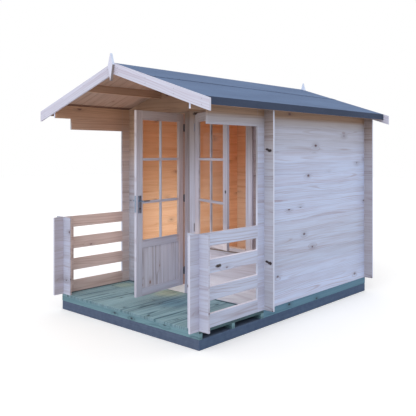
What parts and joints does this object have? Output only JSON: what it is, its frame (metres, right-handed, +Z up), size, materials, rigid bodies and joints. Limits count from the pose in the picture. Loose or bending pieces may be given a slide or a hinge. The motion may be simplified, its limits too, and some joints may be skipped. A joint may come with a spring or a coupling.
{
  "type": "log cabin with veranda",
  "caption": "Small log cabin with a veranda deck, slatted side rails and a gabled felt roof; a part-glazed door stands open beside an open casement window, on a low plinth.",
  "frame": {"origin": "centre of the plinth's underside, on the ground", "axes": "+Z up, -Y out of the front over the veranda, +X to the right seen from the front"},
  "size_m": [2.394, 3.212, 2.5409],
  "materials": {
    "plinth": "matt slate blue masonry paint",
    "treated_timber": "green pressure treated softwood",
    "floor_boards": "planed softwood",
    "logs": "pale planed spruce",
    "roof_timber": "planed softwood",
    "felt": "blue grey mineral felt",
    "trim": "pale planed spruce",
    "joinery": "pale planed spruce",
    "glass": "clear",
    "hinge_metal": "dark satin",
    "handle_metal": "satin steel"
  },
  "bodies": {
    "cabin": {"base_plinth": "plinth", "cabin_bearers": "treated_timber", "veranda_joists": "treated_timber", "veranda_deck": "treated_timber", "cabin_floor": "floor_boards", "side_wall_left": "logs", "side_wall_right": "logs", "side_beam_left": "logs", "side_beam_right": "logs", "rails_left": "logs", "rails_right": "logs", "front_post_left": "logs", "front_post_right": "logs", "back_wall": "logs", "front_wall_left": "logs", "front_wall_right": "logs", "front_wall_below_window": "logs", "front_gable": "logs", "front_log_ends": "logs", "back_log_ends": "logs", "ridge_purlin": "roof_timber", "side_purlins": "roof_timber", "roof_boards": "roof_timber", "eave_battens": "roof_timber", "felt_sheets": "felt", "felt_ridge": "felt", "barge_boards_front": "trim", "barge_boards_back": "trim", "finials": "trim", "door_jambs": "joinery", "frame_heads": "joinery", "door_threshold": "joinery", "window_posts": "joinery", "window_sill": "joinery", "sash_frame": "joinery", "sash_glass": "glass", "sash_hinges": "hinge_metal", "hinge_frame_halves": "hinge_metal"},
    "door": {"door_frame": "joinery", "door_panel": "joinery", "door_glass": "glass", "hinge_door_halves": "hinge_metal", "door_handles": "handle_metal"}
  },
  "joints": [
    {"name": "door_hinge", "type": "hinge", "parent": "cabin", "child": "door", "pos_m": [-0.047, -0.57, 1.144], "axis": [0, 0, 1], "range_deg": [-96, 49]}
  ]
}
